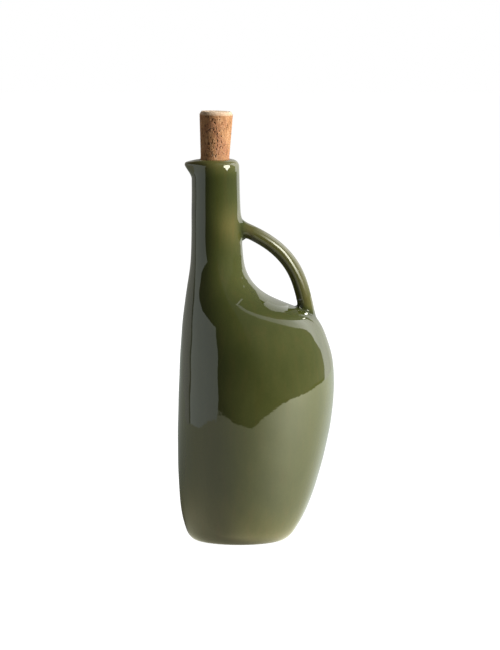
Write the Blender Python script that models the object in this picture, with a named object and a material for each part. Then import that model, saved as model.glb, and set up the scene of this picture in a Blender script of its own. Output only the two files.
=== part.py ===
"""Stoneware oil bottle: a one-piece glazed body with a loop handle, and its cork.

Metres, +Z up. The origin is the middle of the flat foot, the handle is on the +X side and the
pouring lip on the -X side. The body is drawn in level slices: each one is egg-shaped, reaches
from LEFT_SIDE to RIGHT_SIDE and is deepest, front to back, at DEEPEST, where HALF_DEPTH says how
deep. The shut bottle is one solid, bored only where the cork sits.
"""
import math

import bmesh
import bpy
import numpy as np
from mathutils import Vector

for item in list(bpy.data.objects):
    bpy.data.objects.remove(item, do_unlink=True)

MM = 0.001

# The body's outline, in millimetres: (height, x) and (height, half of the front-to-back depth)
RIM_HEIGHT = 248.0
LEFT_SIDE = [(0, -32.4), (12, -36.6), (30, -39.2), (66, -40.3), (100, -39.5), (130, -38.1),
             (160, -34.9), (182, -31.8), (200, -31.2), (225, -31.0), (248, -31.0)]
RIGHT_SIDE = [(0, 31.8), (12, 39.6), (30, 47.5), (55, 54.8), (80, 59.8), (104, 61.5),
              (120, 60.1), (134, 55.9), (144, 50.2), (150, 41.5), (154, 31.5), (158.5, 20.8),
              (165, 11.4), (174, 5.0), (186, 2.3), (200, 1.4), (225, 0.3), (248, -0.2)]
HALF_DEPTH = [(0, 31.8), (12, 35.0), (35, 40.5), (72, 44.5), (100, 43.6), (122, 41.0),
              (140, 36.6), (155, 30.2), (170, 22.3), (184, 17.2), (200, 15.7), (248, 15.5)]
# Where each slice is deepest: (height, x)
DEEPEST = [(0, 0.0), (30, 5.0), (72, 9.0), (104, 10.5), (125, 8.0), (140, 3.0), (150, -2.0),
           (158, -7.0), (165, -10.0), (174, -13.0), (185, -14.6), (200, -15.0), (248, -15.6)]
FOOT_ROUND_HEIGHT = 6.0
FOOT_ROUND_INSET = 3.6
LIP_RADIUS = 4.8
MOUTH_EDGE_RADIUS = 1.2

# The pouring lip: the rim is pulled towards -X, where it thins and droops, with a channel inside
SPOUT_REACH = 5.1
SPOUT_HALF_ANGLE = 0.5
SPOUT_START_HEIGHT = 235.2
SPOUT_FULL_HEIGHT = 246.5
SPOUT_DROOP = 1.6
SPOUT_LIP_RADIUS = 2.4
SPOUT_LIP_HALF_ANGLE = 0.95
CHANNEL_REACH = 3.9
CHANNEL_HALF_ANGLE = 0.4

# The cork, along its own axis from the rim, which leans a little towards the handle
CORK_LEAN = math.radians(1.7)
CORK_AXIS_X = -15.9
CORK_ABOVE_RIM = 31.0
CORK_BELOW_RIM = 13.5
CORK_TOP_RADIUS = 10.9
CORK_RIM_RADIUS = 9.2
CORK_CHAMFER_WIDTH = 1.4
CORK_CHAMFER_HEIGHT = 2.6
CORK_EDGE = 0.6
FIT_GAP = 0.3

# The handle: (x, height) along its middle line, sunk into neck and shoulder at its ends
HANDLE_LINE = [(-5.0, 206.0), (10.7, 198.9), (24.7, 189.5), (35.9, 175.2), (41.2, 160.3),
               (44.0, 147.0), (45.5, 136.0)]
HANDLE_HALF_THICK = 4.65
HANDLE_FOOT_HALF_THICK = 5.1
HANDLE_HALF_WIDE = 5.3
NECK_FLARE_OVER = 3.5
NECK_FLARE_UNDER = 10.5
SHOULDER_FLARE_FROM_END = 16.0
NECK_FLARE = 3.6
SHOULDER_FLARE_INSIDE = 3.4
SHOULDER_FLARE_OUTSIDE = 1.0
FLARE_SIDEWAYS = 0.35
FLARE_REACH = 7.0

# Fineness of the facets
SLICE_POINTS = 48
ROW_STEP = 7.0
ROW_TURN = math.radians(7.0)
LIP_ROWS = 6
EDGE_ROWS = 3
BORE_ROWS = 4
HANDLE_POINTS = 20
HANDLE_ROWS = 34
CORK_POINTS = 48

GLAZE_COLOUR = (0.085, 0.090, 0.028, 1.0)
CORK_COLOUR = (0.42, 0.20, 0.085, 1.0)


def smooth_curve(stations):
    """A natural cubic spline through (position, value) stations, level beyond its ends."""
    position, value = np.array(sorted(stations), float).T
    step = np.diff(position)
    count = len(position)
    system = np.eye(count)
    right = np.zeros(count)
    for i in range(1, count - 1):
        system[i, i - 1:i + 2] = step[i - 1], 2 * (step[i - 1] + step[i]), step[i]
        right[i] = 6 * ((value[i + 1] - value[i]) / step[i] - (value[i] - value[i - 1]) / step[i - 1])
    bend = np.linalg.solve(system, right)

    def read(where):
        where = float(np.clip(where, position[0], position[-1]))
        k = int(np.clip(np.searchsorted(position, where) - 1, 0, count - 2))
        before = (position[k + 1] - where) / step[k]
        after = (where - position[k]) / step[k]
        curve = (before ** 3 - before) * bend[k] + (after ** 3 - after) * bend[k + 1]
        return before * value[k] + after * value[k + 1] + curve * step[k] ** 2 / 6

    return read


left_side = smooth_curve(LEFT_SIDE)
right_side = smooth_curve(RIGHT_SIDE)
half_depth = smooth_curve(HALF_DEPTH)
deepest = smooth_curve(DEEPEST)


def lip_bulge(angle, half_angle):
    """1 on the pouring side (-X), falling to 0 round the rim."""
    return math.exp(-(math.remainder(angle - math.pi, 2 * math.pi) / half_angle) ** 2)


def pull(height):
    """How much of the pouring lip's pull is felt at a height, 0 to 1."""
    share = (height - SPOUT_START_HEIGHT) / (SPOUT_FULL_HEIGHT - SPOUT_START_HEIGHT)
    share = min(max(share, 0.0), 1.0)
    return share * share * (3 - 2 * share)


def rim_height(angle):
    """The rim's height at an angle round it."""
    return RIM_HEIGHT - SPOUT_DROOP * lip_bulge(angle, SPOUT_HALF_ANGLE)


def outer_point(turn, height, inset=0.0):
    """The point of the body's outer egg at a height, drawn in by an inset."""
    middle = deepest(height)
    left = middle - left_side(height) - inset
    right = right_side(height) - middle - inset
    lean = (right - left) / (right + left)
    span = 2 * right * left / (right + left)
    x = span * math.cos(turn) / (1 - lean * math.cos(turn))
    y = (half_depth(height) - inset) * math.sin(turn)
    angle = math.atan2(y, x)
    outward = Vector((math.cos(angle), math.sin(angle), 0))
    reach = SPOUT_REACH * pull(height) * lip_bulge(angle, SPOUT_HALF_ANGLE)
    return (Vector((middle + x, y, height)) + outward * reach) * MM


def round_turns(count):
    """Evenly spaced angles once round."""
    return [2 * math.pi * i / count for i in range(count)]


def outer_slice(height, inset=0.0):
    """A level slice of the body's outside."""
    return [outer_point(turn, height, inset) for turn in round_turns(SLICE_POINTS)]


def lip_slice(roll):
    """A ring of the rounded lip, from its outer foot (roll 0) to its top (a quarter turn)."""
    points = []
    for turn in round_turns(SLICE_POINTS):
        thinning = lip_bulge(turn, SPOUT_LIP_HALF_ANGLE)
        radius = LIP_RADIUS - (LIP_RADIUS - SPOUT_LIP_RADIUS) * thinning
        height = rim_height(turn) - radius * (1 - math.sin(roll))
        points.append(outer_point(turn, height, radius * (1 - math.cos(roll))))
    return points


def cork_radius(along):
    """The cork's radius at a distance along its axis from the rim."""
    return CORK_RIM_RADIUS + (CORK_TOP_RADIUS - CORK_RIM_RADIUS) * along / CORK_ABOVE_RIM


def bore_slice(depth, extra=0.0):
    """Points of the mouth's bore at a depth under the rim: round the cork, with the channel."""
    points = []
    for turn in round_turns(SLICE_POINTS):
        droop = (RIM_HEIGHT - rim_height(turn)) * max(0.0, 1 - depth / CORK_BELOW_RIM)
        below = -depth - droop
        height = RIM_HEIGHT + below
        middle = CORK_AXIS_X + below * math.tan(CORK_LEAN)
        channel = CHANNEL_REACH * pull(height) * lip_bulge(turn, CHANNEL_HALF_ANGLE)
        radius = cork_radius(below) + FIT_GAP + extra + channel
        points.append(Vector((middle + radius * math.cos(turn), radius * math.sin(turn), height)) * MM)
    return points


def turn_of(outline):
    """How much an outline of (x, height) points turns at each of its steps."""
    run = np.diff(outline, axis=0)
    heading = np.unwrap(np.arctan2(run[:, 1], run[:, 0]))
    return np.abs(np.diff(heading, append=heading[-1]))


def wall_heights(low, high):
    """Heights of the rows between the foot and the lip, closer where the outline turns."""
    fine = np.linspace(low, high, 600)
    handle_side = np.array([(right_side(height), height) for height in fine])
    spout_side = np.array([(-SPOUT_REACH * pull(height), height) for height in fine])
    run = np.linalg.norm(np.diff(handle_side, axis=0), axis=1)
    need = run / ROW_STEP + (turn_of(handle_side) + turn_of(spout_side)) / ROW_TURN
    total = np.concatenate(([0.0], np.cumsum(need)))
    rows = int(math.ceil(total[-1]))
    return np.interp(np.linspace(0, total[-1], rows + 1), total, fine)


def loft(name, rings):
    """A closed mesh object through rings of points, with a flat cap at each end."""
    mesh = bmesh.new()
    loops = [[mesh.verts.new(point) for point in ring] for ring in rings]
    count = len(loops[0])
    for lower, upper in zip(loops, loops[1:]):
        for i in range(count):
            after = (i + 1) % count
            mesh.faces.new((lower[i], lower[after], upper[after], upper[i]))
    first = mesh.faces.new(list(reversed(loops[0])))
    last = mesh.faces.new(loops[-1])
    bmesh.ops.triangulate(mesh, faces=[first, last])
    bmesh.ops.recalc_face_normals(mesh, faces=mesh.faces)
    data = bpy.data.meshes.new(name)
    mesh.to_mesh(data)
    mesh.free()
    data.shade_smooth()
    data.set_sharp_from_angle(angle=math.radians(40))
    thing = bpy.data.objects.new(name, data)
    bpy.context.scene.collection.objects.link(thing)
    return thing


def material(name, colour, roughness):
    """A plain finish: colour, roughness and no metal."""
    finish = bpy.data.materials.new(name)
    finish.use_nodes = True
    shader = finish.node_tree.nodes["Principled BSDF"]
    shader.inputs["Base Color"].default_value = colour
    shader.inputs["Roughness"].default_value = roughness
    shader.inputs["Metallic"].default_value = 0.0
    return finish


def body_rings():
    """The body from its foot up the wall, over the lip and down into the mouth."""
    rings = []
    for i in range(LIP_ROWS):
        turn = math.pi / 2 * i / LIP_ROWS
        height = FOOT_ROUND_HEIGHT * (1 - math.cos(turn))
        rings.append(outer_slice(height, FOOT_ROUND_INSET * (1 - math.sin(turn))))
    for height in wall_heights(FOOT_ROUND_HEIGHT, RIM_HEIGHT - LIP_RADIUS):
        rings.append(outer_slice(float(height)))
    for i in range(1, LIP_ROWS + 1):
        rings.append(lip_slice(math.pi / 2 * i / LIP_ROWS))
    for i in range(EDGE_ROWS + 1):
        turn = math.pi / 2 * i / EDGE_ROWS
        depth = MOUTH_EDGE_RADIUS * (1 - math.cos(turn))
        rings.append(bore_slice(depth, MOUTH_EDGE_RADIUS * (1 - math.sin(turn))))
    seat = CORK_BELOW_RIM + FIT_GAP
    for i in range(1, BORE_ROWS + 1):
        rings.append(bore_slice(MOUTH_EDGE_RADIUS + (seat - MOUTH_EDGE_RADIUS) * i / BORE_ROWS))
    return rings


def flare(distance):
    """How wide a fillet spreads at a distance along the handle from the wall it meets, 0 to 1."""
    return max(0.0, 1 - max(0.0, distance) / FLARE_REACH) ** 2


def handle_rings():
    """The handle's sweep: ovals across its middle line, flared where it joins the body."""
    line = np.array(HANDLE_LINE, float)
    chord = np.concatenate(([0.0], np.cumsum(np.linalg.norm(np.diff(line, axis=0), axis=1))))
    line_x = smooth_curve(list(zip(chord, line[:, 0])))
    line_z = smooth_curve(list(zip(chord, line[:, 1])))
    length = float(chord[-1])
    rings = []
    for row in range(HANDLE_ROWS):
        along = length * row / (HANDLE_ROWS - 1)
        ahead, behind = min(along + 0.5, length), max(along - 0.5, 0.0)
        heading = Vector((line_x(ahead) - line_x(behind), 0, line_z(ahead) - line_z(behind))).normalized()
        outward = Vector((-heading.z, 0, heading.x))
        thick = HANDLE_HALF_THICK + (HANDLE_FOOT_HALF_THICK - HANDLE_HALF_THICK) * along / length
        over = NECK_FLARE * flare(along - NECK_FLARE_OVER)
        under = NECK_FLARE * flare(along - NECK_FLARE_UNDER)
        at_shoulder = flare(length - SHOULDER_FLARE_FROM_END - along)
        outer = thick + over + SHOULDER_FLARE_OUTSIDE * at_shoulder
        inner = thick + under + SHOULDER_FLARE_INSIDE * at_shoulder
        wide = HANDLE_HALF_WIDE + FLARE_SIDEWAYS * (over + SHOULDER_FLARE_INSIDE * at_shoulder)
        middle = Vector((line_x(along), 0, line_z(along)))
        ring = []
        for angle in round_turns(HANDLE_POINTS):
            reach = outer if math.cos(angle) > 0 else inner
            across = outward * (reach * math.cos(angle))
            sideways = Vector((0, wide * math.sin(angle), 0))
            ring.append((middle + across + sideways) * MM)
        rings.append(ring)
    return rings


def cork_rings():
    """The cork from its small end up to its chamfered top, along +Z from the rim."""
    chamfer_start = CORK_ABOVE_RIM - CORK_CHAMFER_HEIGHT
    outline = [(-CORK_BELOW_RIM, cork_radius(-CORK_BELOW_RIM) - CORK_EDGE),
               (-CORK_BELOW_RIM + CORK_EDGE, cork_radius(-CORK_BELOW_RIM + CORK_EDGE)),
               (0.0, cork_radius(0.0)),
               (chamfer_start / 2, cork_radius(chamfer_start / 2)),
               (chamfer_start, cork_radius(chamfer_start)),
               (CORK_ABOVE_RIM - CORK_CHAMFER_HEIGHT / 2, CORK_TOP_RADIUS - CORK_CHAMFER_WIDTH / 3),
               (CORK_ABOVE_RIM, CORK_TOP_RADIUS - CORK_CHAMFER_WIDTH)]
    rings = []
    for along, radius in outline:
        rings.append([Vector((radius * math.cos(turn), radius * math.sin(turn), along)) * MM
                      for turn in round_turns(CORK_POINTS)])
    return rings


glaze = material("olive_glaze", GLAZE_COLOUR, 0.12)
natural_cork = material("natural_cork", CORK_COLOUR, 0.85)

handle = loft("handle_sweep", handle_rings())
handle.hide_render = True
handle.display_type = "WIRE"

bottle = loft("bottle", body_rings())
bottle.data.materials.append(glaze)
join = bottle.modifiers.new("join_handle", "BOOLEAN")
join.operation = "UNION"
join.object = handle

mouth = bpy.data.objects.new("mouth_axis", None)
mouth.location = Vector((CORK_AXIS_X, 0, RIM_HEIGHT)) * MM
mouth.rotation_euler = (0, CORK_LEAN, 0)
bpy.context.scene.collection.objects.link(mouth)

cork = loft("cork", cork_rings())
cork.data.materials.append(natural_cork)
cork.parent = mouth
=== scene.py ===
"""Looks of the stoneware oil bottle: its glazed skin with soft joints, its cork, and a studio."""
import math

import bmesh
import bpy
import numpy as np
from mathutils import Matrix, Vector, noise


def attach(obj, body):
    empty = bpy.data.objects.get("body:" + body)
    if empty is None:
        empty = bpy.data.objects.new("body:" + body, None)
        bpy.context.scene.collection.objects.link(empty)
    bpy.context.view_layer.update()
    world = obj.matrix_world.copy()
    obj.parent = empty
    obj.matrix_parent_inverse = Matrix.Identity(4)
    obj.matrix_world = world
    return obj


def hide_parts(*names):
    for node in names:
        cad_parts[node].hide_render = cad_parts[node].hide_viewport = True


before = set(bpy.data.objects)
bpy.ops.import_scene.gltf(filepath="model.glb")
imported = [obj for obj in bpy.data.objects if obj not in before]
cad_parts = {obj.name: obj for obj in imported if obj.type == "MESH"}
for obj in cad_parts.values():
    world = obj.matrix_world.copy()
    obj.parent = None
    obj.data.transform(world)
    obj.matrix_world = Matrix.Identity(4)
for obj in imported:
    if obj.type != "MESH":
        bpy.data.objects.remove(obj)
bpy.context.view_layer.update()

MM = 0.001

# The body's outline, in millimetres: (height, x) and (height, half of the front-to-back depth)
RIM_HEIGHT = 248.0
LEFT_SIDE = [(0, -32.4), (12, -36.6), (30, -39.2), (66, -40.3), (100, -39.5), (130, -38.1),
             (160, -34.9), (182, -31.8), (200, -31.2), (225, -31.0), (248, -31.0)]
RIGHT_SIDE = [(0, 31.8), (12, 39.6), (30, 47.5), (55, 54.8), (80, 59.8), (104, 61.5),
              (120, 60.1), (134, 55.9), (144, 50.2), (150, 41.5), (154, 31.5), (158.5, 20.8),
              (165, 11.4), (174, 5.0), (186, 2.3), (200, 1.4), (225, 0.3), (248, -0.2)]
HALF_DEPTH = [(0, 31.8), (12, 35.0), (35, 40.5), (72, 44.5), (100, 43.6), (122, 41.0),
              (140, 36.6), (155, 30.2), (170, 22.3), (184, 17.2), (200, 15.7), (248, 15.5)]
# Where each slice is deepest: (height, x)
DEEPEST = [(0, 0.0), (30, 5.0), (72, 9.0), (104, 10.5), (125, 8.0), (140, 3.0), (150, -2.0),
           (158, -7.0), (165, -10.0), (174, -13.0), (185, -14.6), (200, -15.0), (248, -15.6)]
FOOT_ROUND_HEIGHT = 6.0
FOOT_ROUND_INSET = 3.6
LIP_RADIUS = 4.8
MOUTH_EDGE_RADIUS = 1.2

# The pouring lip: the rim is pulled towards -X, where it thins and droops, with a channel inside
SPOUT_REACH = 5.1
SPOUT_HALF_ANGLE = 0.5
SPOUT_START_HEIGHT = 235.2
SPOUT_FULL_HEIGHT = 246.5
SPOUT_DROOP = 1.6
SPOUT_LIP_RADIUS = 2.4
SPOUT_LIP_HALF_ANGLE = 0.95
CHANNEL_REACH = 3.9
CHANNEL_HALF_ANGLE = 0.4

# The cork, along its own axis from the rim
CORK_LEAN = math.radians(1.7)
CORK_AXIS_X = -15.9
CORK_ABOVE_RIM = 31.0
CORK_BELOW_RIM = 13.5
CORK_TOP_RADIUS = 10.9
CORK_RIM_RADIUS = 9.2
CORK_CHAMFER_WIDTH = 1.4
CORK_CHAMFER_HEIGHT = 2.6
CORK_SWELL = 0.25
CORK_PIT_DEPTH = 0.45
CORK_ROUGHNESS, CORK_ROUGH_SCALE = 0.05, 0.9
CORK_END_SMOOTHER = 0.6      # the pores of the cut end are shallower by this share
CORK_TURNS, CORK_ROWS, CORK_CHAMFER_ROWS, CORK_TOP_ROWS = 300, 240, 12, 30
# Its pores are slits along the cork: their stretch and scale, and where they start to show
PORE_STRETCH = 0.45
PORE_SCALE, PORE_PATCH_SCALE, PORE_GRAIN_SCALE = 1.15, 0.16, 3.1
PORE_START, PORE_STEEPNESS = 0.34, 3.2
FIT_GAP = 0.3

# The handle: (x, height) along its middle line, sunk into neck and shoulder at its ends
HANDLE_LINE = [(-5.0, 206.0), (10.7, 198.9), (24.7, 189.5), (35.9, 175.2), (41.2, 160.3),
               (44.0, 147.0), (45.5, 136.0)]
HANDLE_HALF_THICK = 4.65
HANDLE_FOOT_HALF_THICK = 5.1
HANDLE_HALF_WIDE = 5.3
HANDLE_SAMPLES = 160
NECK_BLEND = 6.5
SHOULDER_BLEND = 5.0
# The faint crease where each end of the handle was pressed on
NECK_CREASE = 0.15
FOOT_CREASE = 0.2
CREASE_HALF_WIDE = 1.3
# The zone that the handle, its fillets and its creases can reach, and where its upper end begins
HANDLE_ZONE_LEFT = -12
HANDLE_ZONE_HALF_DEEP = 24
HANDLE_ZONE_LOW, HANDLE_ZONE_HIGH = 118, 226
HANDLE_NECK_END_FROM = 178
# How far below the bore the rounding of the mouth is worked out
MOUTH_ZONE_BELOW_BORE = 6
# A soft union rounds a square edge by a radius of 1 when it reaches this far
REACH_PER_RADIUS = 1.76

SKIN_VOXEL = 1.15
SKIN_STEPS = 8
MERGE_WITHIN = 0.002
PROBE = 0.12
WOBBLE = 0.035               # how uneven the hand-thrown wall is

# How pale the glaze is by height: 1 is its usual depth of colour, and it is paler where it is thin
TONE = [(0, 3.0), (3, 2.9), (7, 2.0), (12, 1.4), (19, 1.12), (28, 0.94), (45, 0.84), (70, 0.81),
        (95, 0.81), (112, 0.78), (127, 0.75), (136, 0.76), (143, 0.7), (152, 0.62), (160, 0.66),
        (168, 0.74), (178, 0.74), (190, 0.66), (203, 0.64), (215, 0.62), (230, 0.54), (238, 0.6),
        (243.5, 1.05), (248, 1.2)]
HANDLE_TONE = 1.0
PALEST_TONE = 3.0
# Zones of the glaze, each a (middle, half): heights in millimetres, and sides as an angle in
# radians that runs from the front towards the handle
# Painted light: the foot is paler on its pouring side
FOOT_PAINTED_LIGHT_HEIGHTS = (14.0, 20.0)
# Painted shade on the front of the neck and the belly, a little towards the pouring side
NECK_PAINTED_SHADE_HEIGHTS = (193.0, 20.0)
BELLY_PAINTED_SHADE_HEIGHTS = (124.0, 18.0)
PAINTED_SHADE_SIDE = (-0.3, 0.4)
PATCH_HEIGHTS = (206.0, 13.0)
PATCH_SIDE = (0.7, 0.75)
# Where the handle's own tone starts: distances off the wall, and the height it stays above
ARM_OFF_WALL = (0.8, 4.5)
ARM_LOW = 100
# Painted shade in the joint between the handle and the wall
JOINT_SHADE_LOW, JOINT_SHADE_HIGH = 130, 220
JOINT_SHADE_HALF_WIDE = 2.4
# Heights between which the lip and its pouring side turn brown, and the foot's bare clay ends
BROWN_LIP_HEIGHTS = (240.5, 246.0)
BROWN_SPOUT_HEIGHTS = (240.0, 245.5)
BROWN_SPOUT_HALF_ANGLE = 0.6
BARE_FOOT_HEIGHTS = (0.15, 0.5)


# ---------------------------------------------------------------- the bottle's shape as a field


def smooth_curve(stations):
    """A natural cubic spline through (position, value) stations, level beyond its ends."""
    position, value = np.array(sorted(stations), float).T
    step = np.diff(position)
    count = len(position)
    system = np.eye(count)
    right = np.zeros(count)
    for i in range(1, count - 1):
        system[i, i - 1:i + 2] = step[i - 1], 2 * (step[i - 1] + step[i]), step[i]
        right[i] = 6 * ((value[i + 1] - value[i]) / step[i] - (value[i] - value[i - 1]) / step[i - 1])
    bend = np.linalg.solve(system, right)

    def read(where):
        """The spline's value at each of these positions."""
        where = np.clip(np.asarray(where, float), position[0], position[-1])
        k = np.clip(np.searchsorted(position, where) - 1, 0, count - 2)
        before = (position[k + 1] - where) / step[k]
        after = (where - position[k]) / step[k]
        curve = (before ** 3 - before) * bend[k] + (after ** 3 - after) * bend[k + 1]
        return before * value[k] + after * value[k + 1] + curve * step[k] ** 2 / 6

    return read


def soft_step(value, low, high):
    """0 below the low value and 1 above the high one, with a smooth rise between."""
    share = np.clip((value - low) / (high - low), 0.0, 1.0)
    return share * share * (3 - 2 * share)


def hill(value, top, half):
    """1 at the top, fading to 0 over about two halves on both sides."""
    return np.exp(-((value - top) / half) ** 2)


left_side = smooth_curve(LEFT_SIDE)
right_side = smooth_curve(RIGHT_SIDE)
half_depth = smooth_curve(HALF_DEPTH)
deepest = smooth_curve(DEEPEST)


def lip_bulge(angle, half_angle):
    """1 on the pouring side (-X), falling to 0 round the rim."""
    return hill(np.remainder(angle, 2 * np.pi), np.pi, half_angle)


def pull(height):
    """How much of the pouring lip's pull is felt at a height, 0 to 1."""
    return soft_step(height, SPOUT_START_HEIGHT, SPOUT_FULL_HEIGHT)


def unevenness(x, y, z):
    """Slow swells of the wall, a few centimetres long, between about -1.6 and 1.6."""
    swell = np.sin(x / 3.3 + z / 9.7 + 1.3) * np.sin(y / 3.9 - z / 7.3)
    ring = 0.6 * np.sin(z / 3.7 + 0.9 * np.sin(x / 8.0 + y / 11.0))
    return swell + ring


def body_level(points):
    """0 on the body's outer skin, below 0 inside: egg slices with a rounded foot and a rounded lip."""
    x, y, z = points.T
    height = np.clip(z, 0.0, RIM_HEIGHT)
    middle, deep = deepest(height), half_depth(height)
    left, right = middle - left_side(height), right_side(height) - middle
    lean = (right - left) / (right + left)
    span = 2 * right * left / (right + left)
    stretch = np.maximum(span + lean * (x - middle), 0.2 * span)
    across, ahead = (x - middle) / stretch, y / deep
    level = np.hypot(across, ahead)
    slope = np.hypot(across * span / stretch ** 2, ahead / deep)
    angle = np.arctan2(y, x - middle)
    beyond = (level - 1) * level / np.maximum(slope, 1e-6)
    pulled = lip_bulge(angle, SPOUT_HALF_ANGLE)
    beyond -= SPOUT_REACH * pull(height) * pulled + WOBBLE * unevenness(x, y, z)
    thinning = lip_bulge(angle, SPOUT_LIP_HALF_ANGLE)
    roll = LIP_RADIUS - (LIP_RADIUS - SPOUT_LIP_RADIUS) * thinning
    below_rim = RIM_HEIGHT - SPOUT_DROOP * pulled - z
    foot = np.hypot(np.maximum(beyond + FOOT_ROUND_INSET, 0) / FOOT_ROUND_INSET,
                    np.maximum(FOOT_ROUND_HEIGHT - z, 0) / FOOT_ROUND_HEIGHT) - 1
    lip = np.hypot(np.maximum(beyond + roll, 0), np.maximum(roll - below_rim, 0)) / roll - 1
    return np.where(z < RIM_HEIGHT / 2, foot, lip)


def cork_radius(along):
    """The cork's radius at a distance along its axis from the rim."""
    return CORK_RIM_RADIUS + (CORK_TOP_RADIUS - CORK_RIM_RADIUS) * along / CORK_ABOVE_RIM


def bore_level(points):
    """Below 0 in the mouth's bore, which fits the cork and has the pouring channel."""
    x, y, z = points.T
    below = z - RIM_HEIGHT
    middle = CORK_AXIS_X + below * math.tan(CORK_LEAN)
    angle = np.arctan2(y, x - middle)
    channel = CHANNEL_REACH * pull(z) * lip_bulge(angle, CHANNEL_HALF_ANGLE)
    side = np.hypot(x - middle, y) - cork_radius(below) - FIT_GAP - channel
    bottom = (RIM_HEIGHT - CORK_BELOW_RIM - FIT_GAP) - z
    return np.maximum(side, bottom)


def handle_path():
    """Places, headings and lengths along the handle's middle line."""
    line = np.array(HANDLE_LINE, float)
    chord = np.concatenate(([0.0], np.cumsum(np.linalg.norm(np.diff(line, axis=0), axis=1))))
    along = np.linspace(0, chord[-1], HANDLE_SAMPLES)
    place = np.stack([smooth_curve(list(zip(chord, line[:, i])))(along) for i in (0, 1)], 1)
    heading = np.gradient(place, axis=0)
    heading /= np.linalg.norm(heading, axis=1)[:, None]
    return along, place, heading


handle_along, handle_place, handle_heading = handle_path()


def handle_level(points):
    """Distance to the handle's oval bar, below 0 inside it."""
    flat = points[:, (0, 2)]
    apart = ((flat[:, None, :] - handle_place[None]) ** 2).sum(2)
    nearest = apart.argmin(1)
    offset = ((flat - handle_place[nearest]) * handle_heading[nearest]).sum(1)
    along = np.clip(handle_along[nearest] + offset, 0, handle_along[-1])
    place = np.stack([np.interp(along, handle_along, handle_place[:, i]) for i in (0, 1)], 1)
    heading = np.stack([np.interp(along, handle_along, handle_heading[:, i]) for i in (0, 1)], 1)
    heading /= np.linalg.norm(heading, axis=1)[:, None]
    away = flat - place
    across = -heading[:, 1] * away[:, 0] + heading[:, 0] * away[:, 1]
    share = along / handle_along[-1]
    thick = HANDLE_HALF_THICK + (HANDLE_FOOT_HALF_THICK - HANDLE_HALF_THICK) * share
    level = np.hypot(across / thick, points[:, 1] / HANDLE_HALF_WIDE)
    slope = np.hypot(across / thick ** 2, points[:, 1] / HANDLE_HALF_WIDE ** 2)
    return (level - 1) * level / np.maximum(slope, 1e-6)


def with_slope(level, points):
    """A level's distance to its surface and its outward direction at each point."""
    slope = np.empty_like(points)
    for axis in range(3):
        shift = np.zeros(3)
        shift[axis] = PROBE
        slope[:, axis] = (level(points + shift) - level(points - shift)) / (2 * PROBE)
    size = np.maximum(np.linalg.norm(slope, axis=1), 1e-6)
    return level(points) / size, slope / size[:, None]


def soft_union(first, second, reach):
    """Joins two (distance, direction) pairs with a fillet that reaches that far."""
    (a, a_way), (b, b_way) = first, second
    near = np.maximum(reach - np.abs(a - b), 0) / reach
    mix = np.where(a < b, near ** 2 / 2, 1 - near ** 2 / 2)
    distance = np.minimum(a, b) - near ** 3 * reach / 6
    return distance, a_way * (1 - mix)[:, None] + b_way * mix[:, None]


def opposite(pair):
    """The same surface with its inside and outside exchanged."""
    return -pair[0], -pair[1]


def bottle_skin(points):
    """Distance to the whole glazed skin and its direction: body, handle and mouth together."""
    x, y, z = points.T
    distance, way = with_slope(body_level, points)
    near_handle = (x > HANDLE_ZONE_LEFT) & (np.abs(y) < HANDLE_ZONE_HALF_DEEP)
    near_handle &= (z > HANDLE_ZONE_LOW) & (z < HANDLE_ZONE_HIGH)
    some = points[near_handle]
    at_neck = some[:, 2] > HANDLE_NECK_END_FROM
    wall = distance[near_handle], way[near_handle]
    bar = with_slope(handle_level, some)
    joined, joined_way = soft_union(wall, bar, np.where(at_neck, NECK_BLEND, SHOULDER_BLEND))
    apart = wall[0] - bar[0]
    crease = np.where(at_neck, NECK_CREASE, FOOT_CREASE) * hill(apart, 0.0, CREASE_HALF_WIDE)
    turned = -2 * apart / CREASE_HALF_WIDE ** 2 * crease
    distance[near_handle] = joined + crease
    way[near_handle] = joined_way + turned[:, None] * (wall[1] - bar[1])
    near_mouth = z > RIM_HEIGHT - CORK_BELOW_RIM - MOUTH_ZONE_BELOW_BORE
    outside = opposite((distance[near_mouth], way[near_mouth]))
    bore = with_slope(bore_level, points[near_mouth])
    cut = opposite(soft_union(outside, bore, MOUTH_EDGE_RADIUS * REACH_PER_RADIUS))
    distance[near_mouth], way[near_mouth] = cut
    return distance, way


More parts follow.
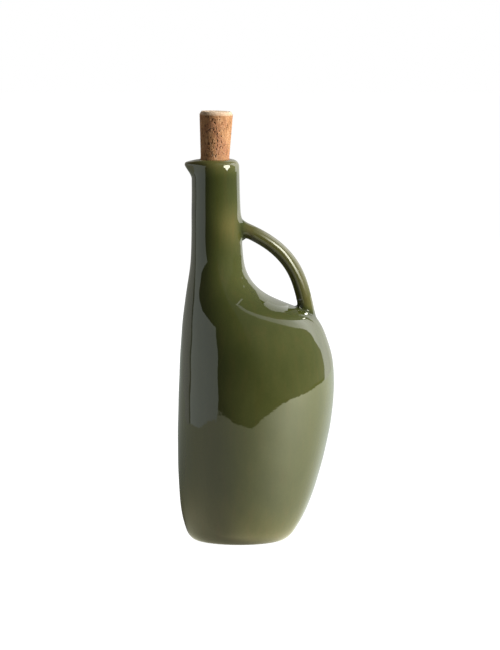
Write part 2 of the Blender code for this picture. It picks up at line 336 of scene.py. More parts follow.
def glaze_looks(points):
    """For each point of the skin: how pale the glaze is, with painted light and shade in that tone,
    how brown, and whether the clay is bare.
    """
    x, y, z = points.T
    facing = np.arctan2(x - deepest(z), -y)
    tone = smooth_curve(TONE)(z)
    handle_side = 0.5 + 0.5 * np.sin(facing)
    # Painted light: the foot is paler towards its pouring side
    tone *= 1 + 2.0 * (1 - handle_side) ** 3 * hill(z, *FOOT_PAINTED_LIGHT_HEIGHTS)
    # Painted shade on the front of the neck and the belly
    darker = 0.4 * hill(z, *NECK_PAINTED_SHADE_HEIGHTS) + 0.25 * hill(z, *BELLY_PAINTED_SHADE_HEIGHTS)
    tone *= 1 - darker * hill(facing, *PAINTED_SHADE_SIDE)
    patch = hill(z, *PATCH_HEIGHTS) * hill(facing, *PATCH_SIDE)
    tone += 0.55 * patch
    beyond_wall = with_slope(body_level, points)[0]
    arm = soft_step(beyond_wall, *ARM_OFF_WALL) * (z > ARM_LOW) * (x > 0)
    tone += (HANDLE_TONE - tone) * arm
    # Painted shade in the joint between the handle and the wall, which is also less brown there
    joint_shade = hill(beyond_wall - with_slope(handle_level, points)[0], 0.0, JOINT_SHADE_HALF_WIDE)
    joint_shade *= (z > JOINT_SHADE_LOW) & (z < JOINT_SHADE_HIGH)
    tone -= 0.5 * joint_shade * tone
    spout = lip_bulge(np.arctan2(y, x - deepest(z)), BROWN_SPOUT_HALF_ANGLE)
    spout *= soft_step(z, *BROWN_SPOUT_HEIGHTS)
    lip = soft_step(z, *BROWN_LIP_HEIGHTS) * (1 - arm)
    tone += 0.25 * spout
    warm = np.clip(0.55 * patch + 0.4 * arm + 0.35 * lip + 1.1 * spout - 0.5 * joint_shade, 0, 1)
    bare = 1 - soft_step(z, *BARE_FOOT_HEIGHTS)
    return tone, warm, bare


def link(name, data):
    """A new object in the scene."""
    thing = bpy.data.objects.new(name, data)
    bpy.context.scene.collection.objects.link(thing)
    return thing


def point_values(mesh, name, values):
    """Keeps one number for each vertex, which a material can read."""
    mesh.attributes.new(name, "FLOAT", "POINT").data.foreach_set("value", values)


def bottle_piece():
    """The glazed skin: the CAD solid remeshed finely and drawn onto the exact form."""
    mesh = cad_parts["bottle"].data.copy()
    mesh.materials.clear()
    work = bmesh.new()
    work.from_mesh(mesh)
    bmesh.ops.remove_doubles(work, verts=work.verts, dist=MERGE_WITHIN * MM)
    work.to_mesh(mesh)
    work.free()
    rough = link("bottle_rough", mesh)
    remesh = rough.modifiers.new("voxels", "REMESH")
    remesh.mode = "VOXEL"
    remesh.voxel_size = SKIN_VOXEL * MM
    remesh.adaptivity = 0.0
    settled = rough.evaluated_get(bpy.context.evaluated_depsgraph_get())
    skin = bpy.data.meshes.new_from_object(settled)
    bpy.data.objects.remove(rough)
    place = np.empty(len(skin.vertices) * 3, np.float32)
    skin.vertices.foreach_get("co", place)
    place = place.reshape(-1, 3).astype(float) / MM
    for _ in range(SKIN_STEPS):
        distance, way = bottle_skin(place)
        place -= way * np.clip(distance / (way ** 2).sum(1), -1.0, 1.0)[:, None]
    way = bottle_skin(place)[1]
    way /= np.linalg.norm(way, axis=1)[:, None]
    skin.vertices.foreach_set("co", (place * MM).astype(np.float32).ravel())
    skin.update()
    for name, values in zip(("tone", "warm", "bare"), glaze_looks(place)):
        point_values(skin, name, values.astype(np.float32))
    piece = link("bottle_skin", skin)
    skin.shade_smooth()
    skin.normals_split_custom_set_from_vertices(way.astype(np.float32).tolist())
    return piece


def cork_pits(place):
    """How deep the cork's pores go at a place, 0 to 1: upright slits, thicker in some patches."""
    long_place = Vector((place.x, place.y, place.z * PORE_STRETCH)) / MM
    slit = noise.fractal(long_place * PORE_SCALE, 0.8, 2.1, 3)
    patch = noise.noise(place / MM * PORE_PATCH_SCALE + Vector((3.1, 7.7, 0.4)))
    grain = noise.noise(long_place * PORE_GRAIN_SCALE)
    depth = (slit + 0.35 * patch + 0.15 * grain - PORE_START) * PORE_STEEPNESS
    return min(max(depth, 0.0), 1.0)


def cork_rings():
    """The cork's rings from below: place along its axis, radius, and how far it is its cut end."""
    rings = []
    chamfer_start = CORK_ABOVE_RIM - CORK_CHAMFER_HEIGHT
    for row in range(CORK_ROWS + 1):
        along = -CORK_BELOW_RIM + (chamfer_start + CORK_BELOW_RIM) * row / CORK_ROWS
        swell = CORK_SWELL if along < 0 else CORK_SWELL * max(0.0, 1 - along / 2)
        rings.append((along, cork_radius(along) + swell, 0.0))
    for row in range(1, CORK_CHAMFER_ROWS + 1):
        share = row / CORK_CHAMFER_ROWS
        rings.append((chamfer_start + CORK_CHAMFER_HEIGHT * share,
                      CORK_TOP_RADIUS - CORK_CHAMFER_WIDTH * share ** 1.5, share ** 0.5))
    top_radius = CORK_TOP_RADIUS - CORK_CHAMFER_WIDTH
    for row in range(1, CORK_TOP_ROWS):
        rings.append((CORK_ABOVE_RIM, top_radius * (1 - row / CORK_TOP_ROWS), 1.0))
    return rings


def cork_piece():
    """The cork: a tapered plug with a chamfered top, pitted by its pores."""
    mesh = bmesh.new()
    loops, pits, ends = [], [], []
    for along, radius, end in cork_rings():
        loop = []
        for i in range(CORK_TURNS):
            turn = 2 * math.pi * i / CORK_TURNS
            place = Vector((radius * math.cos(turn), radius * math.sin(turn), along)) * MM
            pit = cork_pits(place) * (1 - CORK_END_SMOOTHER * end)
            rough = noise.noise(place / MM * CORK_ROUGH_SCALE) * CORK_ROUGHNESS
            inward = Vector((math.cos(turn), math.sin(turn), 0)) * (1 - end) + Vector((0, 0, end))
            loop.append(mesh.verts.new(place - inward * (CORK_PIT_DEPTH * pit + rough) * MM))
            pits.append(pit)
            ends.append(end)
        loops.append(loop)
    for lower, upper in zip(loops, loops[1:]):
        for i in range(CORK_TURNS):
            j = (i + 1) % CORK_TURNS
            mesh.faces.new((lower[i], lower[j], upper[j], upper[i]))
    mesh.faces.new(list(reversed(loops[0])))
    mesh.faces.new(loops[-1])
    data = bpy.data.meshes.new("cork_plug")
    mesh.to_mesh(data)
    mesh.free()
    point_values(data, "pit", pits)
    point_values(data, "end", ends)
    data.shade_smooth()
    piece = link("cork_plug", data)
    piece.matrix_world = (Matrix.Translation(Vector((CORK_AXIS_X, 0, RIM_HEIGHT)) * MM)
                          @ Matrix.Rotation(CORK_LEAN, 4, "Y"))
    return piece


def node(tree, kind, **settings):
    """A new node of a material: settings are its properties, or its inputs by their names."""
    made = tree.nodes.new("ShaderNode" + kind)
    for name, value in settings.items():
        if hasattr(made, name):
            setattr(made, name, value)
        else:
            made.inputs[name.replace("_", " ")].default_value = value
    return made


def math_node(tree, operation, *values, clamp=False):
    """A math node; each value is a number or another node's output."""
    made = node(tree, "Math", operation=operation, use_clamp=clamp)
    for socket, value in zip(made.inputs, values):
        if isinstance(value, (int, float)):
            socket.default_value = value
        else:
            tree.links.new(value, socket)
    return made.outputs[0]


def read_attribute(tree, name):
    """The number that each vertex keeps under that name."""
    return node(tree, "Attribute", attribute_name=name).outputs["Fac"]


def stretched_noise(tree, stretch, scale, detail=4.0, roughness=0.55):
    """A noise pattern over the piece, stretched along each axis."""
    mapping = node(tree, "Mapping", Scale=stretch)
    pattern = node(tree, "TexNoise", Scale=scale, Detail=detail, Roughness=roughness)
    tree.links.new(node(tree, "TexCoord").outputs["Object"], mapping.inputs["Vector"])
    tree.links.new(mapping.outputs[0], pattern.inputs["Vector"])
    return pattern.outputs["Fac"]


def colour_ramp(tree, factor, stops):
    """Colours along a factor: each stop is a position and a colour."""
    ramp = node(tree, "ValToRGB")
    elements = ramp.color_ramp.elements
    while len(elements) < len(stops):
        elements.new(0.5)
    for element, (position, colour) in zip(elements, stops):
        element.position = position
        element.color = (*colour, 1)
    tree.links.new(factor, ramp.inputs[0])
    return ramp.outputs[0]


def mix_colour(tree, factor, first, second, blend="MIX"):
    """A blend of two colours, each a tuple or another node's output."""
    made = node(tree, "Mix", data_type="RGBA", blend_type=blend)
    for socket, value in ((made.inputs[0], factor), (made.inputs[6], first), (made.inputs[7], second)):
        if isinstance(value, tuple):
            socket.default_value = (*value, 1)
        elif isinstance(value, float):
            socket.default_value = value
        else:
            tree.links.new(value, socket)
    return made.outputs[2]


def bump_node(tree, height, distance):
    """A normal bent by a pattern, whose full height is that many metres."""
    made = node(tree, "Bump", Strength=1.0, Distance=distance)
    tree.links.new(height, made.inputs["Height"])
    return made.outputs[0]


def finish_of(name):
    """A new material with its Principled shader: the material, its tree and the shader."""
    finish = bpy.data.materials.new(name)
    finish.use_nodes = True
    return finish, finish.node_tree, finish.node_tree.nodes["Principled BSDF"]


def glaze_finish():
    """Olive glaze: deep green where it is thick, brown to ochre where it is thin, bare clay under; its
    tone also carries painted light and shade.
    """
    finish, tree, shader = finish_of("olive_glaze")
    clouds = stretched_noise(tree, (1, 1, 0.6), 55.0, 5.0, 0.6)
    streaks = stretched_noise(tree, (1, 1, 0.12), 260.0, 3.0)
    specks = stretched_noise(tree, (1, 1, 1), 700.0, 2.0)
    tone = read_attribute(tree, "tone")
    for pattern, amount in ((clouds, 0.55), (streaks, 0.22), (specks, 0.16)):
        varied = math_node(tree, "MULTIPLY_ADD", pattern, amount, 1 - amount / 2)
        tone = math_node(tree, "MULTIPLY", tone, varied)
    colour = colour_ramp(tree, math_node(tree, "DIVIDE", tone, PALEST_TONE), [
        (0.0, (0.012, 0.015, 0.003)), (0.2, (0.033, 0.0385, 0.0085)),
        (0.333, (0.056, 0.060, 0.016)), (0.467, (0.082, 0.081, 0.023)),
        (0.667, (0.114, 0.108, 0.038)), (1.0, (0.170, 0.156, 0.068))])
    brown = mix_colour(tree, 1.0, colour, (1.12, 0.93, 0.95), "MULTIPLY")
    brown_streaks = math_node(tree, "MULTIPLY_ADD", streaks, 2.4, -1.2, clamp=True)
    warm = math_node(tree, "ADD", read_attribute(tree, "warm"), brown_streaks, clamp=True)
    colour = mix_colour(tree, warm, colour, brown)
    grit = colour_ramp(tree, specks, [(0.3, (0.20, 0.16, 0.115)), (0.7, (0.42, 0.36, 0.28))])
    bare = read_attribute(tree, "bare")
    tree.links.new(mix_colour(tree, bare, colour, grit), shader.inputs["Base Color"])
    tree.links.new(math_node(tree, "MULTIPLY_ADD", bare, 0.75, 0.03), shader.inputs["Roughness"])
    shader.inputs["IOR"].default_value = 1.52
    skin = stretched_noise(tree, (1, 1, 0.8), 230.0, 2.0)
    tree.links.new(bump_node(tree, skin, 0.00002), shader.inputs["Normal"])
    return finish


def cork_finish():
    """Natural cork: warm brown with darker pores, red patches, and a paler top, partly the cut end's
    own colour and partly painted light where the chamfer and the top face up.
    """
    finish, tree, shader = finish_of("natural_cork")
    grain = stretched_noise(tree, (1, 1, 0.4), 420.0, 8.0, 0.7)
    patches = stretched_noise(tree, (1, 1, 0.7), 130.0, 3.0)
    end = read_attribute(tree, "end")
    side = colour_ramp(tree, grain, [(0.3, (0.19, 0.088, 0.038)), (0.48, (0.30, 0.145, 0.064)),
                                     (0.7, (0.42, 0.235, 0.125))])
    red = colour_ramp(tree, patches, [(0.5, (0, 0, 0)), (0.62, (0.6, 0.6, 0.6))])
    side = mix_colour(tree, red, side, (0.25, 0.105, 0.055))
    # The cut end's colour, paler partly for the cut and partly as painted light on the upward chamfer
    # and top
    cut = colour_ramp(tree, grain, [(0.3, (0.36, 0.24, 0.15)), (0.6, (0.58, 0.45, 0.32))])
    colour = mix_colour(tree, end, side, cut)
    pit = math_node(tree, "MULTIPLY", read_attribute(tree, "pit"), 0.85)
    tree.links.new(mix_colour(tree, pit, colour, (0.095, 0.043, 0.021)), shader.inputs["Base Color"])
    shader.inputs["Roughness"].default_value = 0.85
    shader.inputs["IOR"].default_value = 1.4
    tree.links.new(bump_node(tree, grain, 0.0002), shader.inputs["Normal"])
    return finish


bottle = bottle_piece()
bottle.data.materials.append(glaze_finish())
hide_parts("bottle")
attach(bottle, "root")

cork = cork_piece()
cork.data.materials.append(cork_finish())
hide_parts("cork")
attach(cork, "root")


# ------------------------------------------------------------------------------- the studio

# The camera's place in metres, its lens and sensor in millimetres, and the dome of boards round
# the bottle
CAMERA_PLACE = (0.0068, -2.520, 0.413)
CAMERA_DIP = math.radians(6.181)
CAMERA_LENS, SENSOR = 215.98, 36.0
PICTURE_WIDE, PICTURE_HIGH = 500, 650
DOME_RADIUS = 1.6
DOME_MIDDLE = Vector((0.01, 0.0, 0.14))
WHITE = (1, 1, 1)
COOL_WHITE = (0.93, 1.0, 0.97)
WARM_WHITE = (1.0, 1.0, 0.77)
CREAM = (1, 1, 0.86)
# A ray's walk to the glaze, in millimetres: the y where it starts, its number of steps, and how
# long each is, as a share of the distance to the glaze and at most
RAY_START, RAY_STEPS, RAY_STRIDE, RAY_LONGEST = -75, 70, 0.75, 8


def shader_nodes(name):
    """A new material with no nodes but its output: the material, its tree and its open socket."""
    finish = bpy.data.materials.new(name)
    finish.use_nodes = True
    tree = finish.node_tree
    tree.nodes.clear()
    return finish, tree, node(tree, "OutputMaterial").inputs["Surface"]


def dimmed_on_matt(tree, strength, share):
    """A glow's strength, of which matt surfaces get only a share."""
    on_matt = node(tree, "LightPath").outputs["Is Diffuse Ray"]
    return math_node(tree, "MULTIPLY", strength,
                     math_node(tree, "MULTIPLY_ADD", on_matt, share - 1, 1.0))


def towards(azimuth, elevation, radius=DOME_RADIUS, middle=DOME_MIDDLE):
    """A place on the dome: the azimuth runs from the front (-Y) to the handle's side (+X)."""
    turn, lift = math.radians(azimuth), math.radians(elevation)
    flat = radius * math.cos(lift)
    offset = (flat * math.sin(turn), -flat * math.cos(turn), radius * math.sin(lift))
    return middle + Vector(offset)


def glow_strip(name, places, strengths, colour, share_on_matt=0.0):
    """A glowing strip between two edges: the places go post by post, low edge then high edge. It
    shows only in what mirrors it, and matt surfaces get that share of its light."""
    mesh = bpy.data.meshes.new(name)
    quads = [(i, i + 2, i + 3, i + 1) for i in range(0, len(places) - 2, 2)]
    mesh.from_pydata(places, [], quads)
    point_values(mesh, "glow", strengths)
    finish, tree, surface = shader_nodes(name)
    strength = dimmed_on_matt(tree, read_attribute(tree, "glow"), share_on_matt)
    emit = node(tree, "Emission", Color=(*colour, 1))
    tree.links.new(strength, emit.inputs["Strength"])
    tree.links.new(emit.outputs[0], surface)
    mesh.materials.append(finish)
    board = link(name, mesh)
    board.visible_camera = False
    board.visible_shadow = False
    board.visible_diffuse = share_on_matt > 0


def dome_panel(name, posts, colour, share_on_matt, radius=DOME_RADIUS, middle=DOME_MIDDLE):
    """A glowing strip of the dome, given post by post: (azimuth, elevation, strength) of the low
    edge and of the high edge."""
    corners = [corner for post in posts for corner in post]
    places = [towards(azimuth, lift, radius, middle) for azimuth, lift, _ in corners]
    glow_strip(name, places, [strength for _, _, strength in corners], colour, share_on_matt)


def flat_piece(name, corners, finish):
    """A level board between corners, at the table's height."""
    mesh = bpy.data.meshes.new(name)
    mesh.from_pydata([(x, y, 0) for x, y in corners], [], [range(len(corners))])
    mesh.materials.append(finish)
    board = link(name, mesh)
    return board


# The dome's panels, where an elevation of -4.9 is just above the table. First the white board on
# the pouring side
dome_panel("left_board", [((-52, -5, 1.15), (-45, 16.0, 1.2)),
                          ((-75, -20, 1.2), (-75, 16.5, 1.3)),
                          ((-92, -25, 1.2), (-92, 19.0, 1.2)),
                          ((-107, -25, 1.2), (-106, 22.0, 1.1))], COOL_WHITE, 0.33)
# The dark gap between that board and the wall behind
dome_panel("left_gap", [((-106.5, -25, 0.2), (-105.5, 20, 0.2)),
                        ((-108.5, -25, 0.2), (-113, 35, 0.2))], WHITE, 0.3, DOME_RADIUS - 0.15)
# The large softbox over the handle's side: it narrows to a tip at the front
dome_panel("softbox", [((19, 55, 1.2), (19, 56.5, 1.2)),
                       ((40, 53, 1.3), (32, 61, 1.4)),
                       ((55, 49.5, 1.6), (45, 60, 1.5)),
                       ((70, 45, 2.0), (60, 58.5, 1.5)),
                       ((80, 39.5, 3.0), (74, 54.5, 1.9)),
                       ((90, 35.5, 3.8), (90, 52, 2.3)),
                       ((97, 30, 4.3), (101, 48.5, 3.8)),
                       ((103, 20, 4.2), (115, 43.5, 4.4)),
                       ((110, 12, 3.2), (134, 34, 2.4)),
                       ((112, 0, 3.1), (136, 22, 1.9)),
                       ((112, -4.9, 3.0), (136, -4.9, 1.6))], WHITE, 0.25)
# The pale wall behind the bottle, brighter on the handle's side
dome_panel("back_wall", [((134, -4.9, 1.5), (134, 22, 1.9)),
                         ((144, -4.9, 1.4), (144, 30, 1.9)),
                         ((146, -4.9, 1.3), (147, 46, 1.9)),
                         ((150, -4.9, 1.2), (139, 53, 1.8)),
                         ((155, -4.9, 1.1), (128, 59, 1.5)),
                         ((165, -4.9, 0.8), (165, 66, 1.4)),
                         ((180, -4.9, 0.45), (180, 60, 0.9)),
                         ((205, -4.9, 0.35), (205, 50, 0.45)),
                         ((228, -15, 0.5), (228, 35, 0.5)),
                         ((251.5, -25, 0.6), (247, 35, 0.7))], (1, 1, 0.98), 0.3)
# Small cards close to the glaze light no matt surface and show only in its reflections: the glowing
# ones as painted highlights, the dark ones as painted dark reflections. The first is before the rim,
# on a small dome of its own: (azimuth, elevation of its low edge, elevation of its high edge)
LIP_CARD_EDGES = [(38, 4, 20), (42, -2, 28), (46, -5, 34), (50, -6.2, 37), (55, -8, 38),
                  (59, -8.6, 38), (63, -6.8, 38), (68, -5.2, 37), (73, -3, 36), (77, 3, 34),
                  (82, 18, 30)]
LIP_CARD_GLOW = 20
LIP_CARD_RADIUS = 0.03
LIP_CARD_MIDDLE = Vector((-0.008, -0.013, 0.244))
lip_card_posts = [((azimuth, low, LIP_CARD_GLOW), (azimuth, high, LIP_CARD_GLOW))
                  for azimuth, low, high in LIP_CARD_EDGES]
dome_panel("lip_card", lip_card_posts, CREAM, 0.0, LIP_CARD_RADIUS, LIP_CARD_MIDDLE)

# The handle's lights, glowing strips close to it that its glaze mirrors as a painted highlight line on
# its ridge and a painted pale outer band: (share of its length, angle of the ridge light, its
# strength, the outer band's strength); an angle runs round the bar, from the front to the outer side
HANDLE_LIGHTS = [(0.15, 42, 0.6, 0.5), (0.2, 42, 1.2, 1.4), (0.25, 42, 4, 2.6),
                 (0.29, 42, 8, 3.2), (0.33, 42, 17, 3.4), (0.377, 45, 19, 3.4),
                 (0.415, 43, 19, 3.4), (0.447, 38, 18, 3.2), (0.478, 35, 17, 3.0),
                 (0.522, 30, 14, 2.8), (0.56, 31, 11, 2.6), (0.604, 34, 7, 2.2),
                 (0.654, 44, 4, 1.6), (0.71, 52, 1.5, 1.0), (0.76, 60, 0.6, 0.6)]
# The strips of these lights stand this far off the glaze, in millimetres, and reach these angles
SLEEVE_GAP = 3.0
RIDGE_HALF_ANGLE = 15
BAND_START, BAND_END = 80, 138
SLEEVE_STEPS = 6
BACKING_GAP = 3.4
BACKING_START, BACKING_BEYOND_BAND, BACKING_STEPS = 10, 5, 9
BACKING_GLOW = 0.3
# The camera looks down a little, so the bar's front is turned up by as much
FRONT_OF_BAR = Vector((0, -1, 0.107))


def sleeve_place(share, angle, gap):
    """A place off the handle, where its glaze mirrors the camera's ray at that angle."""
    place = [np.interp(share * handle_along[-1], handle_along, handle_place[:, i]) for i in (0, 1)]
    heading = [np.interp(share * handle_along[-1], handle_along, handle_heading[:, i]) for i in (0, 1)]
    along = Vector((heading[0], 0, heading[1])).normalized()
    outward = Vector((-along.z, 0, along.x)) if along.x > 0 else Vector((along.z, 0, -along.x))
    front = (FRONT_OF_BAR - along * FRONT_OF_BAR.dot(along)).normalized()
    turn = math.radians(angle)
    glaze = Vector((place[0], 0, place[1]))
    glaze += front * HANDLE_HALF_WIDE * math.cos(turn / 2)
    glaze += outward * HANDLE_HALF_THICK * math.sin(turn / 2)
    return (glaze + (front * math.cos(turn) + outward * math.sin(turn)) * gap) * MM


def sleeve_strip(name, edges, strengths, gap=SLEEVE_GAP, colour=WHITE):
    """A strip along the handle between two angles, given for each of the handle's lights."""
    places, glows = [], []
    for (share, _, _, _), (low, high), strength in zip(HANDLE_LIGHTS, edges, strengths):
        places += [sleeve_place(share, low, gap), sleeve_place(share, high, gap)]
        glows += [strength, strength]
    glow_strip(name, places, glows, colour)


def sleeve_strips(name, angles, strengths, gap=SLEEVE_GAP):
    """Strips side by side round the handle, from each angle to the next."""
    for low, high in zip(angles, angles[1:]):
        sleeve_strip(name, [(low, high)] * len(HANDLE_LIGHTS), strengths, gap)


_, ridge_angles, ridge_glows, band_glows = zip(*HANDLE_LIGHTS)
sleeve_strip("ridge_card", [(angle - RIDGE_HALF_ANGLE, angle + RIDGE_HALF_ANGLE)
                            for angle in ridge_angles], ridge_glows, colour=CREAM)
sleeve_strip("gap_card", [(angle + RIDGE_HALF_ANGLE, BAND_START) for angle in ridge_angles],
             [min(1.0, glow) for glow in ridge_glows])
sleeve_strips("band_card", np.linspace(BAND_START, BAND_END, SLEEVE_STEPS), band_glows)
# A dark backing, so that the neck and the shoulder don't mirror these lights
sleeve_strips("backing_card",
              np.linspace(BACKING_START, BAND_END + BACKING_BEYOND_BAND, BACKING_STEPS),
              [BACKING_GLOW] * len(HANDLE_LIGHTS), BACKING_GAP)


def near_strip(name, corners, strength, colour=WHITE):
    """An evenly glowing or dark card between places in millimetres."""
    glow_strip(name, [Vector(corner) * MM for corner in corners], [strength] * len(corners), colour)


def mirrored_places(spots, gap):
    """Places that far off the glaze, in millimetres, each of which the camera sees mirrored at its
    spot of the picture; a spot is counted in pixels from the picture's top left corner."""
    spots = np.array(spots) + 0.5
    across = (spots[:, 0] - PICTURE_WIDE / 2) * SENSOR / CAMERA_LENS / PICTURE_HIGH
    up = (PICTURE_HIGH / 2 - spots[:, 1]) * SENSOR / CAMERA_LENS / PICTURE_HIGH
    dip, rise = math.sin(CAMERA_DIP), math.cos(CAMERA_DIP)
    rays = np.stack([across, rise + up * dip, up * rise - dip], axis=1)
    rays /= np.linalg.norm(rays, axis=1)[:, None]
    eye = np.array(CAMERA_PLACE) / MM
    places = eye + rays * ((RAY_START - eye[1]) / rays[:, 1])[:, None]
    for _ in range(RAY_STEPS):
        distance = bottle_skin(places)[0]
        places = places + rays * np.minimum(distance * RAY_STRIDE, RAY_LONGEST)[:, None]
    way = bottle_skin(places)[1]
    way /= np.linalg.norm(way, axis=1)[:, None]
    mirrored = rays - 2 * (rays * way).sum(axis=1)[:, None] * way
    return places + gap * mirrored


def mirrored_strip(name, posts, gap, strength, lift=0.0):
    """A card that far off the glaze, seen mirrored between pairs of spots of the picture."""
    places = mirrored_places([spot for post in posts for spot in post], gap)
    near_strip(name, places + (0, 0, lift), strength)


# A dark flag round the neck's foot keeps the softbox out of the fillet there. It and the cards
# after it are given post by post, each post as the two spots of the picture that mirror its ends
FLAG = [((236, 262), (240.5, 262)), ((233, 270), (241.5, 270)), ((230, 276), (244, 276)),
        ((228, 281), (247, 281)), ((226, 286), (250.5, 285)), ((226, 292), (255, 290)),
        ((228, 298), (257.5, 295)), ((233, 302.5), (260, 300)), ((240, 305), (262, 303)),
        ((246, 309.5), (265, 306)), ((254, 312.5), (269, 309.5)), ((262, 315), (275, 311.3)),
        ((272, 316.5), (282, 312)), ((284, 317.5), (288, 311)), ((298, 317), (296, 309))]
mirrored_strip("flag", FLAG, 5.0, 0.2)
mirrored_strip("flag_top", [((233, 255), (241, 255)), ((232, 262), (241, 262)),
                            ((232, 269), (242, 269))], 3.6, 0.2)
mirrored_strip("flag_side", [((237, 279), (246.5, 279)), ((237, 286), (250, 286)),
                             ((238, 293), (254, 293))], 3.6, 0.2)
# Another dark flag, beside the neck
NECK_FLAG = [((231, 171), (236.2, 171)), ((231, 206), (237, 206)), ((231, 221), (238, 221)),
             ((231, 232), (239, 232)), ((232, 245), (240, 245)), ((234, 258), (240.5, 258))]
mirrored_strip("neck_flag", NECK_FLAG, 10.0, 0.3)
# A glowing card that the shoulder mirrors as a painted pale patch of reflection, and a dark backing
# over it that hides it from all above
PATCH = [((263, 303), (267, 300.5)), ((266, 306.5), (270, 302.5)), ((270, 309.5), (274, 304)),
         ((275, 311), (278, 305)), ((281, 311.5), (283, 305.5)), ((287, 310), (288, 305))]
mirrored_strip("patch_card", PATCH, 4.0, 1.6)
mirrored_strip("patch_backing", PATCH, 4.0, 0.2, lift=0.5)
# A glowing card that the neck's foot mirrors as a painted thin highlight line
THIN_LINE = [((241, 277), (242, 277)), ((242.3, 283), (243.3, 283)), ((243.4, 288), (244.4, 288)),
             ((243.6, 293), (244.6, 293)), ((241.2, 298), (242.4, 298.6)),
             ((238, 301.5), (239, 302.5)), ((235.5, 304), (236.5, 305))]
mirrored_strip("thin_line", THIN_LINE, 2.5, 2.0)
# Two small glowing cards, which the glaze mirrors as painted glints at the handle's foot
near_strip("foot_glint", [(43.8, -5.7, 150.7), (43.8, -5.5, 149.9), (45.4, -5.3, 149.9),
                          (45.0, -5.3, 149.4)], 20, CREAM)
near_strip("side_glint", [(44.3, -13.7, 150.1), (44.4, -14.5, 149.7), (45.7, -10.9, 149.7),
                          (45.8, -12.4, 149.4)], 14, CREAM)
# The dim room on the handle's side, farther off, where the table is at an elevation of -2.8
dome_panel("dim_wall", [((0, -2.8, 0.03), (0, 75, 0.35)),
                        ((30, -2.8, 0.12), (30, 75, 0.4)),
                        ((70, -2.8, 0.3), (70, 75, 0.4)),
                        ((112, -2.8, 0.5), (112, 75, 0.35)),
                        ((150, 30, 0.3), (150, 75, 0.3))], WHITE, 0.3, DOME_RADIUS + 1.2)


# The table's glow before its painted pools of light, its least glow, and how far from the bottle half
# of the lights' share is reached
TABLE_GLOW = 0.97
TABLE_LEAST_GLOW = 0.1
TABLE_HALF_LIT = 0.2
# Its painted pools of light, its painted shadow and its cooler colour, as (azimuth, narrowness,
# strength), and the painted shadow's share far from the bottle
TABLE_FRONT_LIGHT = (50, 6.0, 3.6)
TABLE_SIDE_LIGHT = (100, 3.0, 2.1)
TABLE_SHADE = (-150, 2.0, 1.0)
TABLE_COOLER = (180, 1.0, 1.0)
FAR_SHADE = 0.35
TABLE_SHARE_ON_MATT = 0.25
# The table that the camera sees
SEEN_TABLE_GLOW = 0.994
SEEN_TABLE_COLOUR = (0.12, 0.12, 0.12, 1)


def lit_table():
    """How the table shows in the glaze: evenly pale, with painted pools of light far brighter where
    the lights would fall on it, and a painted shadow behind the bottle on the pouring side.
    """
    finish, tree, surface = shader_nodes("lit_table")
    split = node(tree, "SeparateXYZ")
    tree.links.new(node(tree, "NewGeometry").outputs["Position"], split.inputs[0])
    x, y = split.outputs["X"], split.outputs["Y"]
    squares = math_node(tree, "MULTIPLY_ADD", x, x, math_node(tree, "MULTIPLY", y, y))
    reach = math_node(tree, "SQRT", squares)

    def lobe(azimuth, power, height):
        """That height towards the azimuth, falling to 0 at a right angle to it."""
        turn = math.radians(azimuth)
        ahead = math_node(tree, "MULTIPLY_ADD", x, math.sin(turn),
                          math_node(tree, "MULTIPLY", y, -math.cos(turn)))
        facing = math_node(tree, "MAXIMUM", math_node(tree, "DIVIDE", ahead, reach), 0.0)
        return math_node(tree, "MULTIPLY", math_node(tree, "POWER", facing, power), height)

    lights = math_node(tree, "ADD", lobe(*TABLE_FRONT_LIGHT), lobe(*TABLE_SIDE_LIGHT))
    far = math_node(tree, "DIVIDE", reach, math_node(tree, "ADD", reach, TABLE_HALF_LIT))
    lit = math_node(tree, "MULTIPLY_ADD", lights, far, TABLE_GLOW)
    shade_share = math_node(tree, "SUBTRACT", 1 + FAR_SHADE, far)
    shade = math_node(tree, "MULTIPLY", lobe(*TABLE_SHADE), shade_share)
    strength = math_node(tree, "MAXIMUM", math_node(tree, "SUBTRACT", lit, shade), TABLE_LEAST_GLOW)
    emit = node(tree, "Emission")
    tint = mix_colour(tree, lobe(*TABLE_COOLER), WARM_WHITE, COOL_WHITE)
    strength = dimmed_on_matt(tree, strength, TABLE_SHARE_ON_MATT)
    tree.links.new(tint, emit.inputs["Color"])
    tree.links.new(strength, emit.inputs["Strength"])
    tree.links.new(emit.outputs[0], surface)
    return finish


def seen_table():
    """How the table shows to the camera: white, with a faint shadow under the bottle."""
    finish, tree, surface = shader_nodes("seen_table")
    matt = node(tree, "BsdfDiffuse", Color=SEEN_TABLE_COLOUR)
    emit = node(tree, "Emission", Strength=SEEN_TABLE_GLOW)
    both = node(tree, "AddShader")
    tree.links.new(matt.outputs[0], both.inputs[0])
    tree.links.new(emit.outputs[0], both.inputs[1])
    tree.links.new(both.outputs[0], surface)
    return finish


# The table's edge, as the glaze shows it: its front comes to a point before the bottle
TABLE_IN_GLAZE = [(-1.54, -1.2), (-0.5, -1.07), (-0.16, -0.96), (-0.03, -0.75), (0.09, -0.88),
                  (0.3, -1.25), (0.55, -1.44), (0.7, -1.2), (1.07, -1.25), (1.9, -1.7),
                  (2.45, -1.4), (1.9, -0.4), (1.6, 1.5), (0, 2.5), (-1.0, 1.6), (-0.72, 0.34),
                  (-0.85, -0.09), (-1.01, -0.3)]
shown = flat_piece("table_in_glaze", TABLE_IN_GLAZE, lit_table())
shown.visible_camera = False
shown.visible_shadow = False
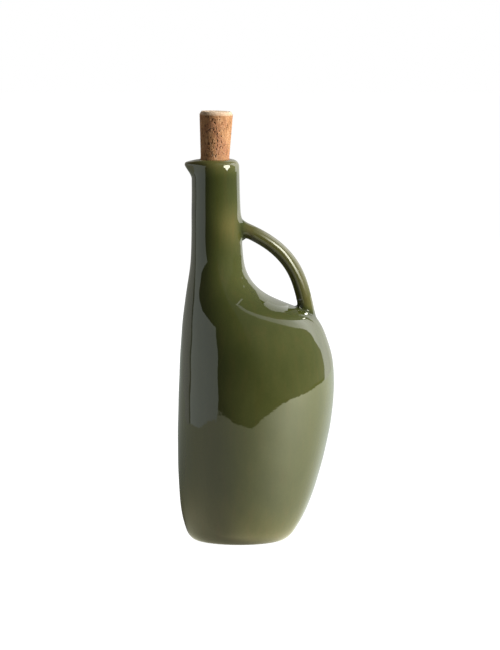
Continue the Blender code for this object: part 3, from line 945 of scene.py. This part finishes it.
# The table that the camera sees is a hair lower
TABLE_HALF_WIDE = 6.0
TABLE_DROP = 0.0002
corners = [(-1, -1), (1, -1), (1, 1), (-1, 1)]
table = flat_piece("table", [(x * TABLE_HALF_WIDE, y * TABLE_HALF_WIDE) for x, y in corners],
                   seen_table())
table.location.z = -TABLE_DROP
table.visible_glossy = False
table.visible_diffuse = False


def soft_lamp(name, azimuth, elevation, size, power):
    """An area lamp on the dome, facing the bottle, that shows in no reflection."""
    data = bpy.data.lights.new(name, "AREA")
    data.shape = "DISK"
    data.size = size
    data.energy = power
    lamp = link(name, data)
    lamp.location = towards(azimuth, elevation)
    lamp.rotation_euler = (DOME_MIDDLE - lamp.location).to_track_quat("-Z", "Y").to_euler()
    lamp.visible_glossy = False
    lamp.visible_camera = False


soft_lamp("key_lamp", 65, 22, 0.6, 61)
soft_lamp("side_fill", -110, 20, 0.8, 4)
soft_lamp("back_fill", -165, 25, 0.8, 30)

ROOM_GLOW = 0.08


def room():
    """The world: white behind everything that the camera sees, and a dim light on all else."""
    world = bpy.data.worlds.new("studio")
    world.use_nodes = True
    tree = world.node_tree
    tree.nodes.clear()
    mix = node(tree, "MixShader")
    tree.links.new(node(tree, "LightPath").outputs["Is Camera Ray"], mix.inputs[0])
    for socket, strength in zip(mix.inputs[1:], (ROOM_GLOW, 1.0)):
        background = node(tree, "Background", Color=(1, 1, 1, 1), Strength=strength)
        tree.links.new(background.outputs[0], socket)
    tree.links.new(mix.outputs[0], node(tree, "OutputWorld").inputs["Surface"])
    return world


def photo_camera():
    """The camera that took the photo, as its perspective tells."""
    lens = bpy.data.cameras.new("camera")
    lens.sensor_fit = "AUTO"
    lens.sensor_width = SENSOR
    lens.lens = CAMERA_LENS
    lens.clip_end = 50
    camera = link("camera", lens)
    camera.location = CAMERA_PLACE
    camera.rotation_euler = (math.pi / 2 - CAMERA_DIP, 0, 0)
    return camera


bpy.context.scene.world = room()
bpy.context.scene.camera = photo_camera()
bpy.context.scene.view_settings.view_transform = "Standard"
